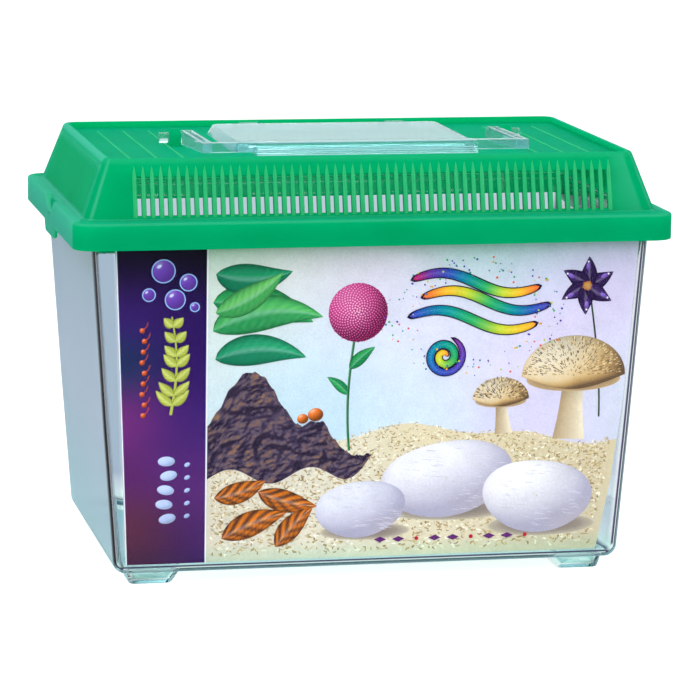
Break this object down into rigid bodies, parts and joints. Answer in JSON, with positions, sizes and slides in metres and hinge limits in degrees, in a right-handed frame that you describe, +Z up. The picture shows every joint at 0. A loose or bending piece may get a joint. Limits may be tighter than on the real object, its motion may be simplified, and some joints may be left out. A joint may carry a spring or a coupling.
{
  "type": "plastic pet keeper",
  "caption": "Small clear plastic pet keeper: drafted tank with feet and a front card, slotted lid that snaps over its flange, hinged feeding hatch and folding carry handle.",
  "frame": {"origin": "middle of the bounding box in X and Y, at the height of the table that the four feet stand on", "axes": "+X along the front from left to right, +Y to the back, +Z up; the card and the folded handle are on the -Y side"},
  "size_m": [0.2318, 0.1524, 0.1684],
  "materials": {
    "clear_styrene": "clear, polished moulding",
    "green_lid": "satin moulding with polished ribs",
    "clear_trim": "clear, slightly blue-green moulding",
    "printed_card": "printed, satin"
  },
  "bodies": {
    "base": {"tank": "clear_styrene", "label_card": "printed_card"},
    "cover": {"lid": "green_lid"},
    "hatch": {"window_hatch": "clear_trim"},
    "handle": {"carry_handle": "clear_trim"}
  },
  "joints": [
    {"name": "lid_lift", "type": "slide", "parent": "base", "child": "cover", "axis": [0, 0, 1], "range_m": [0, 0.06]},
    {"name": "hatch_open", "type": "hinge", "parent": "cover", "child": "hatch", "pos_m": [0, 0.03885, 0.1642], "axis": [-1, 0, 0], "range_deg": [0, 105]},
    {"name": "handle_swing", "type": "hinge", "parent": "cover", "child": "handle", "pos_m": [0, 0, 0.1647], "axis": [-1, 0, 0], "range_deg": [0, 88]}
  ]
}
